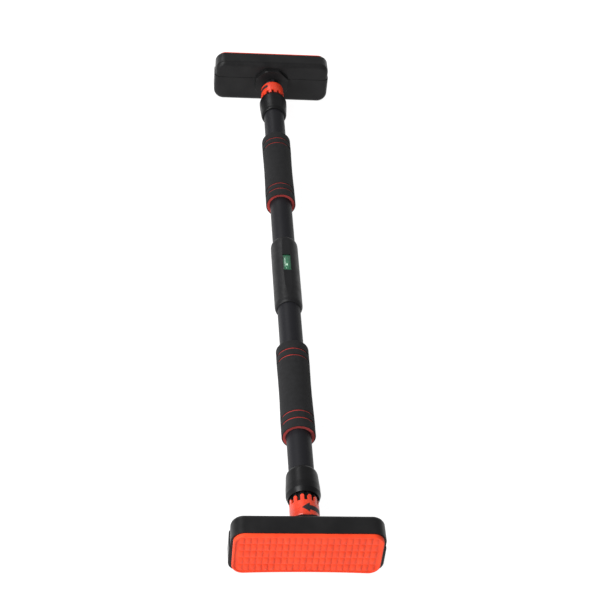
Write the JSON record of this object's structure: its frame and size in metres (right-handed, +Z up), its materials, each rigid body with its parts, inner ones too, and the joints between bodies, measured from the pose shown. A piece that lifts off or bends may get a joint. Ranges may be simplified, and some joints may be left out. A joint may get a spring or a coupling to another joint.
{
  "type": "pull-up bar",
  "caption": "Doorway pull-up bar: steel tube with foam grips and a spirit level, screw-out feet with rubber wall pads and sliding lock collars.",
  "frame": {"origin": "on the bar's axis, half way between the two wall pads at rest", "axes": "+Y along the bar towards the rear foot, +Z up through the spirit level, +X across the feet"},
  "size_m": [0.1864, 1.0054, 0.072],
  "materials": {
    "tube": "matt charcoal powder coat",
    "steel": "bright zinc-plated steel",
    "fasteners": "zinc-plated screws",
    "sleeve_plastic": "finely textured black plastic",
    "clear_plastic": "clear acrylic, tinted green",
    "level_liquid": "green level liquid",
    "foam_red": "closed-cell foam, dark red",
    "foam_black": "closed-cell foam, black",
    "brass": "turned brass",
    "lock_plastic": "satin black plastic",
    "orange_plastic": "satin orange-red plastic",
    "screw_steel": "black oxide steel",
    "casing_plastic": "semi-gloss black plastic with a fine texture",
    "pad_rubber": "soft orange-red rubber, block texture"
  },
  "bodies": {
    "bar": {"front_tube": "tube", "rear_tube": "tube", "tube_joiner": "steel", "centre_sleeve": "sleeve_plastic", "sleeve_screws": "fasteners", "level_vial": "clear_plastic", "level_liquid": "level_liquid", "front_grip_core": "foam_red", "front_grip_skin": "foam_black", "front_screw_nut": "brass", "front_spline_bush": "lock_plastic", "front_gear_clip": "steel", "rear_grip_core": "foam_red", "rear_grip_skin": "foam_black", "rear_screw_nut": "brass", "rear_spline_bush": "lock_plastic", "rear_gear_clip": "steel"},
    "front_gear": {"front_gear_sleeve": "orange_plastic"},
    "front_foot": {"front_screw_rod": "screw_steel", "front_rod_stop": "steel", "front_hub": "casing_plastic", "front_upper_casing": "casing_plastic", "front_lower_casing": "casing_plastic", "front_foot_plate": "steel", "front_casing_screws": "fasteners", "front_rod_bolt": "fasteners", "front_wall_pad": "pad_rubber"},
    "front_collar": {"front_lock_collar": "lock_plastic"},
    "rear_gear": {"rear_gear_sleeve": "orange_plastic"},
    "rear_foot": {"rear_screw_rod": "screw_steel", "rear_rod_stop": "steel", "rear_hub": "casing_plastic", "rear_upper_casing": "casing_plastic", "rear_lower_casing": "casing_plastic", "rear_foot_plate": "steel", "rear_casing_screws": "fasteners", "rear_rod_bolt": "fasteners", "rear_wall_pad": "pad_rubber"},
    "rear_collar": {"rear_lock_collar": "lock_plastic"}
  },
  "joints": [
    {"name": "front_turn", "type": "hinge", "parent": "bar", "child": "front_gear", "pos_m": [0, 0, 0], "axis": [0, 1, 0], "range_deg": [-360, 5040]},
    {"name": "front_extend", "type": "slide", "parent": "front_gear", "child": "front_foot", "axis": [0, -1, 0], "range_m": [-0.005, 0.07]},
    {"name": "front_lock", "type": "slide", "parent": "bar", "child": "front_collar", "axis": [0, -1, 0], "range_m": [0, 0.01]},
    {"name": "rear_turn", "type": "hinge", "parent": "bar", "child": "rear_gear", "pos_m": [0, 0, 0], "axis": [0, 1, 0], "range_deg": [-900, 4500]},
    {"name": "rear_extend", "type": "slide", "parent": "rear_gear", "child": "rear_foot", "axis": [0, 1, 0], "range_m": [-0.0125, 0.0625]},
    {"name": "rear_lock", "type": "slide", "parent": "bar", "child": "rear_collar", "axis": [0, 1, 0], "range_m": [-0.0035, 0.0065]}
  ],
  "couplings": [
    {"joint": "front_extend", "follows": "front_turn", "m_per_rad": 0.00079577},
    {"joint": "rear_extend", "follows": "rear_turn", "m_per_rad": 0.00079577}
  ]
}
